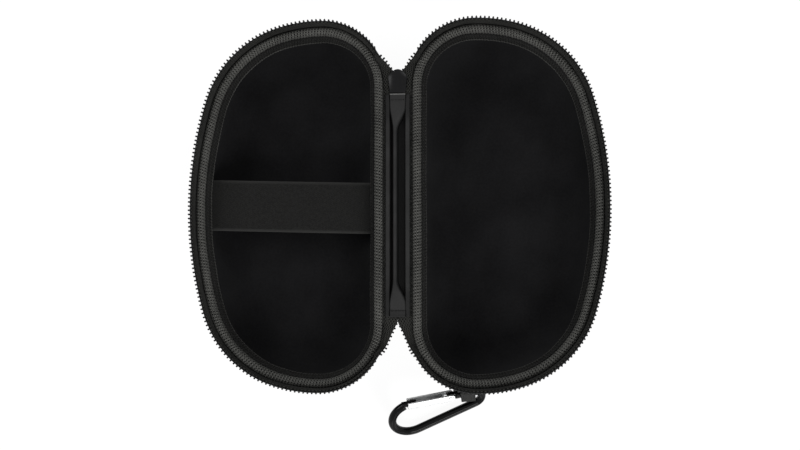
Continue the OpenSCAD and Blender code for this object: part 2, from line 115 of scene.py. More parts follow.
world = bpy.data.worlds.new("white_studio")
bpy.context.scene.world = world
world.use_nodes = True
tree = world.node_tree
tree.nodes.clear()
soft = put(tree, "Background", {"Color": white, "Strength": 0.3})
plain = put(tree, "Background", {"Color": white, "Strength": 1.0})
mixed = put(tree, "MixShader", {0: sees_white(tree), 1: soft, 2: plain})
put(tree, "OutputWorld", {"Surface": mixed})

lamps_aim = Vector((-0.05, 0, 0.02))
for name, place, size, watts in (
    ("key", (0.24, -0.62, 0.5), 0.4, 4.4),
    ("low", (0.32, -0.72, 0.16), 0.12, 1.4),
    ("fill", (-0.62, 0.2, 0.5), 0.4, 2.4),
    ("back", (0.4, 0.6, 0.5), 0.4, 1.8),
):
    bpy.ops.object.light_add(type="AREA", location=place)
    lamp = bpy.context.object
    lamp.name = name + "_lamp"
    lamp.data.energy, lamp.data.size = watts, size
    lamp.visible_camera = False
    lamp.rotation_euler = (lamps_aim - lamp.location).to_track_quat("-Z", "Y").to_euler()

# Outer cloth of the two shells: woven polyester laid over the foam and moulded with it into a dome.
# Each half is traced by the same arcs, and the lid is the base mirrored in the spine.
halves = ("base", "lid")
spine_x, rim_z = -52.8, 26.0
# Arcs: centre x, centre y, radius, first and last angle, in mm and degrees, anticlockwise. The long
# hinge side is an arc so large that it is straight, between two round corners.
corner_x, corner_y, corner_r = -15.34, 57.32, 30.16
round_arcs = [
    (-135.5, 0, 181, -16.2602, 16.2602),
    (-9.74, 36.68, 50, 16.2602, 73.7398),
    (corner_x, 17.48, 70, 73.7398, 90),
    (corner_x, corner_y, corner_r, 90, 180),
    (99954.5, 0, 100000, 180 - 0.032842, 180 + 0.032842),
    (corner_x, -corner_y, corner_r, 180, 270),
    (corner_x, -17.48, 70, 270, 286.2602),
    (-9.74, -36.68, 50, 286.2602, 343.7398),
]
draft = math.radians(5)
fabric_t, foam_t, lining_t = 0.5, 2.6, 0.5
wall_t = fabric_t + foam_t + lining_t
set_in, dome_r = 0.1, 20.0
dome_o = -set_in - (dome_r + (rim_z - dome_r) * math.sin(draft)) / math.cos(draft)
flat_o = dome_o - 3


def trace(arcs, step):
    """Points along arcs, each with its outward normal, at about a step in mm."""
    rows = []
    for x, y, r, start, end in arcs:
        count = max(1, round(math.radians(abs(end - start)) * r / step))
        for i in range(count):
            t = math.radians(start + (end - start) * i / count)
            rows.append((x + r * math.cos(t), y + r * math.sin(t), math.cos(t), math.sin(t)))
    return np.array(rows)


def wall(z, depth=0.0):
    """Where the leaning wall is at a height, out from the traced line, at a depth under its outer face."""
    return -set_in - (rim_z - z) * math.tan(draft) - depth / math.cos(draft)


def alone(made):
    """Makes an object the only one selected, and the active one."""
    bpy.ops.object.select_all(action="DESELECT")
    made.select_set(True)
    bpy.context.view_layer.objects.active = made


def shown(name, mesh):
    """A new object for a mesh, the only one selected."""
    made = bpy.data.objects.new(name, mesh)
    bpy.context.scene.collection.objects.link(made)
    alone(made)
    return made


def piece(name, points, faces, uvs, finish, half="base"):
    """A mesh from points in mm and faces with a UV in metres for each corner. The lid's are mirrored."""
    points = np.array(points, float).reshape(-1, 3)
    if half == "lid":
        points[:, 0] = 2 * spine_x - points[:, 0]
        faces = [f[::-1] for f in faces]
        uvs = [u[::-1] for u in uvs]
    mesh = bpy.data.meshes.new(name)
    mesh.from_pydata((points * mm).tolist(), [], [list(map(int, f)) for f in faces])
    layer = mesh.uv_layers.new(name="UVMap")
    layer.data.foreach_set("uv", np.array([c for u in uvs for c in u], float).ravel())
    mesh.polygons.foreach_set("use_smooth", [True] * len(mesh.polygons))
    mesh.materials.append(finish)
    made = shown(name, mesh)
    bpy.ops.object.mode_set(mode="EDIT")
    bpy.ops.mesh.select_all(action="SELECT")
    bpy.ops.mesh.normals_make_consistent(inside=False)
    bpy.ops.object.mode_set(mode="OBJECT")
    return made


def travelled(points, closed=False):
    """Distance along a line at each of its points, and back at its start where it is closed."""
    if closed:
        points = np.vstack([points, points[:1]])
    return np.concatenate([[0], np.cumsum(np.linalg.norm(np.diff(points, axis=0), axis=1))])


def net(rows, round_line, round_section):
    """Faces and UVs of a grid of points: rows along a line, columns across a section."""
    n, m = rows.shape[:2]
    run, across = travelled(rows[:, 0], True), travelled(rows[0], True)
    faces, uvs = [], []
    for i in range(n if round_line else n - 1):
        for j in range(m if round_section else m - 1):
            a, b = (i + 1) % n, (j + 1) % m
            faces.append((i * m + j, i * m + b, a * m + b, a * m + j))
            corners = ((i, j), (i, j + 1), (i + 1, j + 1), (i + 1, j))
            uvs.append([(run[p] * mm, across[q] * mm) for p, q in corners])
    if round_section and not round_line:
        for i, order in ((0, range(m - 1, -1, -1)), (n - 1, range(m))):
            faces.append([i * m + j for j in order])
            uvs.append([(run[i] * mm, across[j] * mm) for j in order])
    return faces, uvs


def swept(line, section):
    """Points of a section (outward, up) carried along a traced line. The section may differ by row."""
    section = np.broadcast_to(np.asarray(section, float), (len(line),) + np.shape(section)[-2:])
    rows = np.empty(section.shape[:2] + (3,))
    rows[..., :2] = line[:, None, :2] + line[:, None, 2:] * section[..., :1]
    rows[..., 2] = section[..., 1]
    return rows


def dome(inset, top, steps=16):
    """Section of the shell at a depth under its outer face, from the flat bottom up to a height."""
    r = dome_r - inset
    turns = [(math.pi / 2 - draft) * i / steps for i in range(steps + 1)]
    curve = [(dome_o + r * math.sin(t), dome_r - r * math.cos(t)) for t in turns]
    return [(flat_o, inset)] + curve + [(wall(z, inset), z) for z in (22.5, top)]


def shell(name, half, outer, inner, top, finish, step=2.0, uneven=0.0):
    """A domed layer of the shell, closed all over. Its UV is the cloth laid flat."""
    line = trace(round_arcs, step)
    centre = np.array([-2.0, 0.0])
    rings, flats = [], []
    for inset, order in ((outer, 1), (inner, -1)):
        section = dome(inset, top)
        own = swept(line, np.array(section))
        flat = [line[:, :2] + line[:, 2:] * (flat_o + d) for d in travelled(section)]
        stack = [own[:, j] for j in range(own.shape[1])]
        for share in (0.88, 0.74, 0.6, 0.46, 0.32, 0.18, 0.06):
            ring = own[:, 0].copy()
            ring[:, :2] = centre + (ring[:, :2] - centre) * share
            stack.insert(0, ring)
            flat.insert(0, ring[:, :2].copy())
        rings += stack[::order]
        flats += flat[::order]
    points = np.concatenate(rings)
    if uneven:
        # A gentle unevenness, a few centimetres across, that fades out under the rim
        for p in points:
            p[2] += uneven * noise.noise(Vector(p) * 0.045) * min(1, max(0, (24 - p[2]) / 6))
    n, last = len(line), len(points) - len(line)
    faces = []
    for k in range(len(rings) - 1):
        for i in range(n):
            a = (i + 1) % n
            faces.append((k * n + i, k * n + a, (k + 1) * n + a, (k + 1) * n + i))
    low_pole, high_pole = len(points), len(points) + 1
    faces += [(low_pole, (i + 1) % n, i) for i in range(n)]
    faces += [(high_pole, last + i, last + (i + 1) % n) for i in range(n)]
    points = np.vstack([points, [*centre, outer], [*centre, inner]])
    flats = np.vstack([np.concatenate(flats), centre, centre])
    uvs = [[flats[v] * mm for v in f] for f in faces]
    return piece(name, points, faces, uvs, finish, half)


def woven(name, dark, light, thread, cross=1.0, rough=0.85, deep=0.5, slant=0.0, plain=1.0, inner=None):
    """Woven cloth over the UV, coloured from painted shade in the thread gaps to painted highlights on
    crowns.

    thread is the warp's spacing in mm, cross the weft's share of it, and slant the warp's lean. plain is
    the weft's part in the weave, 0 for ribs alone. inner names a mark on the mesh that adds painted shade.
    Threads are drawn two to three times as coarse as real ones, because finer ones don't show in the
    picture.
    """
    cloth, tree = blank(name)
    where = put(tree, "TexCoord").outputs
    apart = put(tree, "SeparateXYZ", {0: where["UV"]}).outputs
    # The warp wanders by half a thread, so that it isn't ruled straight
    wander = put(tree, "TexNoise", {"Vector": where["Object"], "Scale": 0.14 / mm, "Detail": 3.0})
    drift = put(tree, "Math", {0: wander, 1: thread * mm * 0.55}, operation="MULTIPLY")
    along = put(tree, "Math", {0: apart[0], 1: drift}, operation="ADD")
    lean = put(tree, "Math", {0: apart[1], 1: slant, 2: along}, operation="MULTIPLY_ADD")
    turn = 2 * math.pi / (thread * mm)
    warp = put(tree, "Math", {0: lean, 1: turn}, operation="MULTIPLY")
    warp = put(tree, "Math", {0: warp}, operation="SINE")
    weft = put(tree, "Math", {0: apart[1], 1: turn / cross}, operation="MULTIPLY")
    weft = put(tree, "Math", {0: weft}, operation="SINE")
    share = put(tree, "Math", {0: weft, 1: plain, 2: 1.0 - plain}, operation="MULTIPLY_ADD")
    over = put(tree, "Math", {0: warp, 1: share}, operation="MULTIPLY")
    fuzz = put(tree, "TexNoise", {"Vector": where["Object"], "Scale": 2.6 / mm, "Detail": 2.0})
    high = put(tree, "Math", {0: over, 1: 0.6, 2: fuzz}, operation="MULTIPLY_ADD")
    patch = put(tree, "TexNoise", {"Vector": where["Object"], "Scale": 0.06 / mm, "Detail": 4.0})
    tone = put(tree, "Math", {0: patch, 1: 0.5, 2: high}, operation="MULTIPLY_ADD")
    colour = put(tree, "ValToRGB", {0: tone}, stops=((0.45, dark), (1.0, light))).outputs[0]
    # Painted shade: where the mark on the mesh is 1, the cloth takes its darkest colour
    if inner:
        mark = put(tree, "Attribute", attribute_name=inner).outputs["Fac"]
        colour = put(tree, "Mix", {0: mark, 6: colour, 7: rgb(dark)}, data_type="RGBA").outputs[2]
    bump = put(tree, "Bump", {"Height": high, "Strength": deep, "Distance": 0.25 * thread * mm})
    skin = {"Base Color": colour, "Normal": bump, "Roughness": rough, "Specular IOR Level": 0.06}
    skin |= {"Sheen Weight": 0.02, "Sheen Roughness": 0.5}
    put(tree, "OutputMaterial", {"Surface": put(tree, "BsdfPrincipled", skin)})
    return cloth


# Plain-weave polyester: a matt dark cloth whose threads catch a little light on their crowns
polyester = woven("woven_polyester", "#0b0b0b", "#343432", 1.0, cross=1.1, deep=0.8, plain=0.7)
for half in halves:
    cloth = shell(half + "_outer_cloth", half, 0.0, fabric_t, rim_z - 0.1, polyester)
    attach(cloth, half)
    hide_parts(half + "_outer_fabric")

# Foam of the shells: moulded EVA foam, which gives the case its shape. It is hidden between cloth and
# lining, and its cut edge lies under the rim binding. Its cells make it dull and faintly pitted.
foam_skin, tree = blank("moulded_eva_foam")
where = put(tree, "TexCoord").outputs
cells = put(tree, "TexVoronoi", {"Vector": where["Object"], "Scale": 2.2 / mm})
tint = put(tree, "ValToRGB", {0: cells}, stops=((0.0, "#161616"), (1.0, "#242424")))
bump = put(tree, "Bump", {"Height": cells, "Strength": 0.4, "Distance": 0.2 * mm})
skin = {"Base Color": tint, "Normal": bump, "Roughness": 0.9, "Specular IOR Level": 0.06}
put(tree, "OutputMaterial", {"Surface": put(tree, "BsdfPrincipled", skin)})
for half in halves:
    foam = shell(half + "_foam", half, fabric_t, fabric_t + foam_t, rim_z, foam_skin, step=3.0)
    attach(foam, half)
    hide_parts(half + "_foam_shell")

# Lining: thin brushed knit, bonded to the foam. It is nearly black, with a soft nap and no gloss, and
# its tone drifts slowly from place to place.
lining_knit, tree = blank("brushed_knit")
where = put(tree, "TexCoord").outputs
nap = put(tree, "TexNoise", {"Vector": where["Object"], "Scale": 0.9 / mm, "Detail": 4.0})
cloud = put(tree, "TexNoise", {"Vector": where["Object"], "Scale": 0.038 / mm, "Detail": 3.0})
tone = put(tree, "Math", {0: nap, 1: 0.5, 2: cloud}, operation="MULTIPLY_ADD")
tint = put(tree, "ValToRGB", {0: tone}, stops=((0.35, "#0a0a0b"), (1.0, "#1b1b1c")))
bump = put(tree, "Bump", {"Height": nap, "Strength": 0.35, "Distance": 0.2 * mm})
skin = {"Base Color": tint, "Normal": bump, "Roughness": 0.95, "Specular IOR Level": 0.04}
skin |= {"Sheen Weight": 0.02, "Sheen Roughness": 0.6}
put(tree, "OutputMaterial", {"Surface": put(tree, "BsdfPrincipled", skin)})
for half in halves:
    name, depth = half + "_knit_lining", fabric_t + foam_t
    lining = shell(name, half, depth, wall_t, rim_z - 0.1, lining_knit, uneven=0.25)
    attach(lining, half)
    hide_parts(half + "_lining")

# Rim binding: grosgrain tape folded over the foam edge. A rounded roll on top, a stitch groove, and a
# leg down the lining that ends in a folded hem. The ribs of the grosgrain run across it.
roll_r, roll_o, roll_z = 1.95, -2.0, rim_z + 0.6
hem_r, hem_o, hem_z = 1.2, -5.05, 21.35
stitch_step = 3.0
roll_turns, hem_turns = np.radians(range(-17, 206, 12)), np.radians(range(112, 291, 18))
roll = np.column_stack([roll_o + roll_r * np.cos(roll_turns), roll_z + roll_r * np.sin(roll_turns)])
groove = [(-4.2, 25.3), (-4.55, 25.15), (-4.8, 25.0), (-4.95, 24.6), (-4.98, 24.0), (-4.98, 23.2)]
leg_hem = np.column_stack([hem_o + hem_r * np.cos(hem_turns), hem_z + 1.25 * hem_r * np.sin(hem_turns)])
back = [(wall(z, wall_t) + 0.02, z) for z in (20.0, 23.0, 25.9)] + [(roll_o, rim_z + 0.02)]
binding_section = np.vstack([roll, groove, leg_hem, back])
out, up = binding_section.T
leg = (up < 25.5) & (out < wall(23, wall_t) - 0.2)
# The leg is painted darker as painted shade under the roll, least so on the hem's inner edge, a painted
# highlight
leg_shade = np.where(up < 25.9, 0.85, 0.0)
leg_shade[(out < hem_o - 0.6 * hem_r) & (up < hem_z + 0.5)] = 0.2
# Grosgrain: dull dark ribs with painted shade between them, whose crowns show as pale painted highlights
grosgrain = woven(
    "grosgrain_tape",
    "#080808",
    "#5e5e5b",
    1.5,
    cross=0.85,
    rough=0.75,
    deep=1.0,
    slant=0.2,
    plain=0.6,
    inner="painted_leg_shade",
)


def marked(made, name, values):
    """Gives each point of a mesh a number that its material reads."""
    made.data.attributes.new(name, "FLOAT", "POINT").data.foreach_set("value", np.ravel(values))


line = trace(round_arcs, 0.75)
for half in halves:
    # The leg wanders a little, and puckers between its stitches
    sections = np.repeat(binding_section[None], len(line), 0)
    for i, d in enumerate(travelled(line[:, :2])):
        x, y = line[i, :2] * 0.06
        drift = noise.noise(Vector((x, y, 0.3 if half == "base" else 4.1)))
        pucker = 0.5 + 0.5 * math.cos(2 * math.pi * d / stitch_step)
        sections[i, leg, 0] += 0.28 * drift - 0.12 * pucker
        sections[i, leg, 1] += 0.22 * noise.noise(Vector((x * 2.2, y * 2.2, 7.7)))
        sections[i, 4:16, 1] += 0.07 * drift
    rows = swept(line, sections)
    binding = piece(half + "_rim_binding", rows, *net(rows, True, True), grosgrain, half)
    # The mark paints shade on the leg, and less on the hem's inner edge, which reads as a painted highlight
    marked(binding, "painted_leg_shade", np.tile(leg_shade, len(line)))
    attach(binding, half)
    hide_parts(half + "_binding")


# Stitches in the binding's groove: bonded polyester thread, a lockstitch every 3 mm. Its plies catch
# the light in turn, with a soft sheen.
def tube(path, radii, sides=6):
    """Points, faces and UVs of a round thread along a path, in mm."""
    path = np.asarray(path, float)
    radii = np.broadcast_to(np.asarray(radii, float), (len(path),))
    tangent = np.gradient(path, axis=0)
    tangent /= np.linalg.norm(tangent, axis=1)[:, None]
    side = np.cross(tangent[0], (0.31, 0.2, 0.93))
    rows = np.empty((len(path), sides, 3))
    for i, (p, t, r) in enumerate(zip(path, tangent, radii)):
        side = side - t * (side @ t)
        side /= np.linalg.norm(side)
        up = np.cross(t, side)
        for k in range(sides):
            a = 2 * math.pi * k / sides
            rows[i, k] = p + r * (side * math.cos(a) + up * math.sin(a))
    return rows.reshape(-1, 3), *net(rows, False, True)


def gathered(parts):
    """Several meshes' points, faces and UVs as one."""
    points, faces, uvs, start = [], [], [], 0
    for p, f, u in parts:
        points.append(p)
        faces += [[v + start for v in face] for face in f]
        uvs += u
        start += len(p)
    return np.concatenate(points), faces, uvs


thread, tree = blank("polyester_thread")
where = put(tree, "TexCoord").outputs
apart = put(tree, "SeparateXYZ", {0: where["UV"]}).outputs
lean = put(tree, "Math", {0: apart[0], 1: apart[1]}, operation="ADD")
ply = put(tree, "Math", {0: lean, 1: 2 * math.pi / (0.5 * mm)}, operation="MULTIPLY")
ply = put(tree, "Math", {0: ply}, operation="SINE")
tint = put(tree, "ValToRGB", {0: ply}, stops=((0.0, "#080808"), (1.0, "#1b1b1b")))
bump = put(tree, "Bump", {"Height": ply, "Strength": 0.5, "Distance": 0.1 * mm})
skin = {"Base Color": tint, "Normal": bump, "Roughness": 0.6, "Specular IOR Level": 0.15}
put(tree, "OutputMaterial", {"Surface": put(tree, "BsdfPrincipled", skin)})
groove_o, groove_z = -4.45, rim_z - 0.6
# One stitch: how far on it is, how far it stands up, and its radius
stitch = (
    (0.04, -0.35, 0.14),
    (0.16, 0.02, 0.2),
    (0.5, 0.1, 0.22),
    (0.84, 0.02, 0.2),
    (0.96, -0.35, 0.14),
)
line = trace(round_arcs, stitch_step)
for half in halves:
    parts = []
    for a, b in zip(line, np.roll(line, -1, 0)):
        path = []
        for share, dip, _ in stitch:
            at = a * (1 - share) + b * share
            path.append((*(at[:2] + at[2:] * groove_o), groove_z + dip))
        parts.append(tube(path, [r for _, _, r in stitch]))
    stitches = piece(half + "_binding_stitches", *gathered(parts), thread, half)
    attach(stitches, half)

# Zip tape: herringbone polyester tape sewn to the wall under the binding. Its free edge stands up and
# leans out a little, and carries the coil on its outer face. It ends past the two hinge corners.
zip_end = 150.0
zip_arcs = [(corner_x, -corner_y, corner_r, 360 - zip_end, 270), *round_arcs[6:], *round_arcs[:3]]
zip_arcs.append((corner_x, corner_y, corner_r, 90, zip_end))
tape_lean = math.radians(10)
tape_t, tape_top = 0.5, 5.8
# Herringbone tape: nearly black and matt, with painted highlights as pale specks where its threads cross
herringbone = woven("herringbone_tape", "#040404", "#333331", 1.7, cross=0.8, rough=0.9, plain=1.0)
last = math.radians(zip_end)
end_way = np.array([math.cos(last), math.sin(last)])
foot_line = np.vstack([trace(zip_arcs, 1.0), [*((corner_x, corner_y) + corner_r * end_way), *end_way]])


def free_edge(t, depth):
    """Section point at a distance up the free part of the tape, and out from its inner face."""
    return (
        -set_in + t * math.sin(tape_lean) + depth * math.cos(tape_lean),
        rim_z + t * math.cos(tape_lean) - depth * math.sin(tape_lean),
    )


tape_section = [(wall(z) + 0.02, z) for z in (20.0, 22.0, 24.0)]
tape_section += [free_edge(t, 0.02) for t in (0.0, 1.8, 3.6, tape_top)]
tape_section += [free_edge(t, tape_t) for t in (tape_top, 3.6, 1.8, 0.1)]
tape_section += [(wall(z) + tape_t, z) for z in (24.0, 22.0, 20.0)]
rows = swept(foot_line, tape_section)
for half in halves:
    tape = piece(half + "_herringbone_tape", rows, *net(rows, False, True), herringbone, half)
    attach(tape, half)
    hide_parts(half + "_zip_tape")

# Zip coil: one nylon monofilament wound flat, pressed out to a coupling head at the tip of each turn,
# and sewn to the tape over a thin cord. The turns of the two halves lie turn between turn when shut.
pitch, coil_tip, coil_h = 2.0, 6.72, 2.8
cord_r, cord_out, cord_up = 0.54, 0.58, 0.6
first_turn = {"base": 0.3, "lid": 0.3 + pitch / 2}
# One turn: along the tape, up from the coil's root, out from the tape, and the filament's radius
turn = [
    (0.0, 0.05, 0.42, 0.34),
    (0.02, 1.0, 0.42, 0.34),
    (0.04, 1.75, 0.44, 0.4),
    (0.06, 2.32, 0.6, 0.48),
    (0.08, 2.34, 0.92, 0.48),
    (0.1, 1.75, 1.02, 0.4),
    (0.18, 1.0, 1.04, 0.34),
    (0.7, 0.1, 1.0, 0.32),
    (1.3, -0.05, 0.82, 0.3),
    (1.75, -0.05, 0.55, 0.3),
]
# Drawn nylon: black, smooth and softly glossy. A painted highlight makes the heads of a standing row a
# little paler.
nylon, tree = blank("drawn_nylon")
where = put(tree, "TexCoord").outputs
vary = put(tree, "TexNoise", {"Vector": where["Object"], "Scale": 0.7 / mm, "Detail": 2.0})
tint = put(tree, "ValToRGB", {0: vary}, stops=((0.0, "#060607"), (1.0, "#161617")))
apart = put(tree, "SeparateXYZ", {0: where["Object"]}).outputs
# Painted highlight: near the top of each standing turn the nylon is mixed towards a paler grey
tip_z = (rim_z + coil_tip * math.cos(tape_lean)) * mm
head_highlight = put(tree, "MapRange", {0: apart[2], 1: tip_z - 1.1 * mm, 2: tip_z - 0.5 * mm})
tint = put(tree, "Mix", {0: head_highlight, 6: tint, 7: rgb("#242424")}, data_type="RGBA")
bump = put(tree, "Bump", {"Height": vary, "Strength": 0.2, "Distance": 0.1 * mm})
skin = {"Base Color": tint.outputs[2], "Normal": bump, "Roughness": 0.4, "Specular IOR Level": 0.15}
put(tree, "OutputMaterial", {"Surface": put(tree, "BsdfPrincipled", skin)})


def coil_row(feet, leans, depths, first, flip=1):
    """The filament and its cord along a row: the coil's root, the way up its turns, and the way out."""
    run = travelled(feet)
    spacing = run[-1] / round(run[-1] / pitch)
    path, radii = [], []
    for k in range(round((run[-1] - first) / spacing)):
        for along, up, out, r in turn:
            d = first + spacing * k + along * spacing / pitch
            at = [np.array([np.interp(d, run, a[:, c]) for c in range(3)]) for a in (feet, leans, depths)]
            path.append(at[0] + up * at[1] + out * at[2])
            radii.append(r)
    cord = feet + cord_up * leans + cord_out * depths
    return gathered([tube(np.array(path) * flip, radii), tube(cord * flip, cord_r, 8)])


def leaning(out, up):
    """One direction all along the tape, by its parts outward and up."""
    return np.column_stack([foot_line[:, 2:] * out, np.full(len(foot_line), up)])


root_line = swept(foot_line, [free_edge(coil_tip - coil_h, tape_t)])[:, 0]
lean_line = leaning(math.sin(tape_lean), math.cos(tape_lean))
depth_line = leaning(math.cos(tape_lean), -math.sin(tape_lean))
for half in halves:
    row = coil_row(root_line, lean_line, depth_line, first_turn[half])
    coil = piece(half + "_nylon_coil", *row, nylon, half)
    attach(coil, half)
    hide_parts(half + "_zip_coil")

# Elastic strap across the lid: 25 mm woven elastic, taut, with paler selvedges. Its ends turn up behind
# the binding's leg, where they are sewn. Its dull ribs, 1 mm apart, get painted shade and painted
# highlights.
strap_w, strap_t, strap_z = 25.0, 1.2, 18.2
strap_far, strap_near, strap_slant = 40.7, -41.1, 1.1
elastic, tree = blank("woven_elastic")
where = put(tree, "TexCoord").outputs
apart = put(tree, "SeparateXYZ", {0: where["UV"]}).outputs
rib = put(tree, "Math", {0: apart[1], 1: 2 * math.pi / (0.95 * mm)}, operation="MULTIPLY")
rib = put(tree, "Math", {0: rib}, operation="SINE")
weft = put(tree, "Math", {0: apart[0], 1: 2 * math.pi / (0.7 * mm)}, operation="MULTIPLY")
weft = put(tree, "Math", {0: weft}, operation="SINE")
over = put(tree, "Math", {0: rib, 1: weft}, operation="MULTIPLY")
fuzz = put(tree, "TexNoise", {"Vector": where["Object"], "Scale": 1.5 / mm, "Detail": 3.0})
high = put(tree, "Math", {0: over, 1: 0.4, 2: fuzz}, operation="MULTIPLY_ADD")
tint = put(tree, "ValToRGB", {0: high}, stops=((0.15, "#0d0d0d"), (0.9, "#262625")))
edge = put(tree, "Attribute", attribute_name="selvedge").outputs["Fac"]
tint = put(tree, "Mix", {0: edge, 6: tint, 7: rgb("#343433")}, data_type="RGBA")
bump = put(tree, "Bump", {"Height": high, "Strength": 0.5, "Distance": 0.2 * mm})
skin = {"Base Color": tint.outputs[2], "Normal": bump, "Roughness": 0.85, "Specular IOR Level": 0.08}
skin |= {"Sheen Weight": 0.02}
put(tree, "OutputMaterial", {"Surface": put(tree, "BsdfPrincipled", skin)})


def thickened(made, thickness):
    """Gives the sheet just made its thickness in mm, half to each side."""
    layer = made.modifiers.new("thickness", "SOLIDIFY")
    layer.thickness, layer.offset = thickness * mm, 0
    bpy.ops.object.modifier_apply(modifier="thickness")


# The turned-up end: how far in from the strap's end, and how high
turn_up = [(-0.35, 6.0), (-0.35, 3.2), (-0.35, 1.2), (0.0, 0.35), (0.85, 0.0)]
knots = [(strap_near + a, z) for a, z in turn_up]
knots += [(x, 0.0) for x in np.linspace(strap_near + 2.5, strap_far - 2.5, 30)]
knots += [(strap_far - a, z) for a, z in turn_up[::-1]]
widths = np.linspace(-1, 1, 17)
rows = []
for x, z in knots:
    part = (x - strap_near) / (strap_far - strap_near)
    row = []
    for q in widths:
        sag = -0.25 * math.sin(math.pi * min(1, max(0, part))) - 0.12 * q**4
        y = strap_slant * (2 * part - 1) + q * strap_w / 2
        row.append((x, y, strap_z + strap_t / 2 + z * 0.93 + sag))
    rows.append(row)
rows = np.array(rows)
strap = piece("lid_elastic_strap", rows, *net(rows, False, False), elastic, "lid")
marked(strap, "selvedge", np.tile(np.abs(widths) > 0.94, len(knots)).astype(float))
thickened(strap, 1.0)
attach(strap, "lid")
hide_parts("elastic_strap")

# Spine: a strip of smooth coated cloth, flat at both ends and pinched into a narrow ridge between, with
# a deep valley on each side, over a bowed backing of the outer cloth.
spine_half, spine_edge = 54.0, 5.75
# Coated cloth: dark grey with a fine grain, made nearly black deep in its folds by painted shade, and
# pale on edges by a painted highlight
coated, tree = blank("coated_cloth")
where = put(tree, "TexCoord").outputs
grain = put(tree, "TexVoronoi", {"Vector": where["Object"], "Scale": 1.5 / mm})
cloud = put(tree, "TexNoise", {"Vector": where["Object"], "Scale": 0.09 / mm, "Detail": 3.0})
tint = put(tree, "ValToRGB", {0: cloud}, stops=((0.0, "#1e1e1e"), (1.0, "#333333")))
# The fold mark paints light: below 0 painted shade darkens the cloth, above 0 a painted highlight pales it
fold = put(tree, "Attribute", attribute_name="fold").outputs["Fac"]
fold_shade = put(tree, "MapRange", {0: fold, 1: 0.0, 2: -1.0})
tint = put(tree, "Mix", {0: fold_shade, 6: tint, 7: rgb("#060606")}, data_type="RGBA").outputs[2]
# Painted highlight, where the fold mark is above 0
hem_highlight = put(tree, "MapRange", {0: fold, 1: 0.0, 2: 1.0})
tint = put(tree, "Mix", {0: hem_highlight, 6: tint, 7: rgb("#8c8c8a")}, data_type="RGBA").outputs[2]
bump = put(tree, "Bump", {"Height": grain, "Strength": 0.25, "Distance": 0.1 * mm})
skin = {"Base Color": tint, "Normal": bump, "Roughness": 0.6, "Specular IOR Level": 0.1}
put(tree, "OutputMaterial", {"Surface": put(tree, "BsdfPrincipled", skin)})
across = np.linspace(-spine_edge, spine_edge, 93)
lid_flat = -spine_edge + 1.5
base_flat = spine_edge - 1.7
rows, fold_shades = [], []
for v in np.linspace(-spine_half, spine_half, 109):
    # pinch grows from 0 on the flat ends to 1 between them
    pinch = min(1, max(0, (spine_half - 6 - abs(v)) / 12))
    pinch = pinch * pinch * (3 - 2 * pinch)
    ridge, deep, middle = 3.4 - 2.95 * pinch, 0.7 + 2.6 * min(1, 2 * pinch), -1.4 * pinch
    lid_slope = min(0.7, 0.3 * (middle - ridge - lid_flat))
    base_slope = min(0.8, 0.3 * (base_flat - middle - ridge))
    knots_x = [-spine_edge, lid_flat, lid_flat + lid_slope, middle - ridge - lid_slope, middle - ridge]
    knots_x += [middle + ridge, middle + ridge + base_slope, base_flat - base_slope, base_flat, spine_edge]
    up = np.interp(across, knots_x, [0, 0, -deep, -deep, 0.2, 0.2, -deep, -deep, 0, 0])
    for _ in range(2):
        up[1:-1] = (up[:-2] + 2 * up[1:-1] + up[2:]) / 4
    ripple = [0.06 * noise.noise(Vector((x * 0.4, v * 0.12, 2.0))) for x in across]
    rows.append([(spine_x + x, v, rim_z + 0.05 + z + r) for x, z, r in zip(across, up, ripple)])
    # Beside the ridge, towards the flat ends, the cloth is painted darker still, as painted shade
    beside = (np.abs(across - middle) > ridge + 0.3) * min(0.7, max(0, (abs(v) - 37) / 8))
    # Painted shade: the lower the cloth lies in a valley, the darker it is painted
    fold_shades.append(np.clip((up + 0.4) / 1.6 - beside, -1, 0))
rows = np.array(rows)
strip = piece("spine_inner_strip", rows, *net(rows, False, False), coated)
marked(strip, "fold", fold_shades)
thickened(strip, 0.5)
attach(strip, "spine")
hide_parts("spine_strip")

half_bow = [(-5.45, -0.35), (-5.2, -1.5), (-4.55, -2.7), (-3.55, -3.45), (-2.15, -3.65)]
backing_line = half_bow + [(0, -3.7)] + [(-x, z) for x, z in half_bow[::-1]]
places = np.linspace(-spine_half, spine_half, 37)
rows = np.array([[(spine_x + x, v, rim_z + z) for x, z in backing_line] for v in places])
backing = piece("spine_outer_backing", rows, *net(rows, False, False), polyester)
thickened(backing, 0.45)
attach(backing, "spine")
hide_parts("spine_backing")

# Hem across each end of the spine strip, folded over and sewn with one row of stitches. Its folded
# edge beside the slider gets a painted highlight.
both_ends = ((1, "top"), (-1, "bottom"))
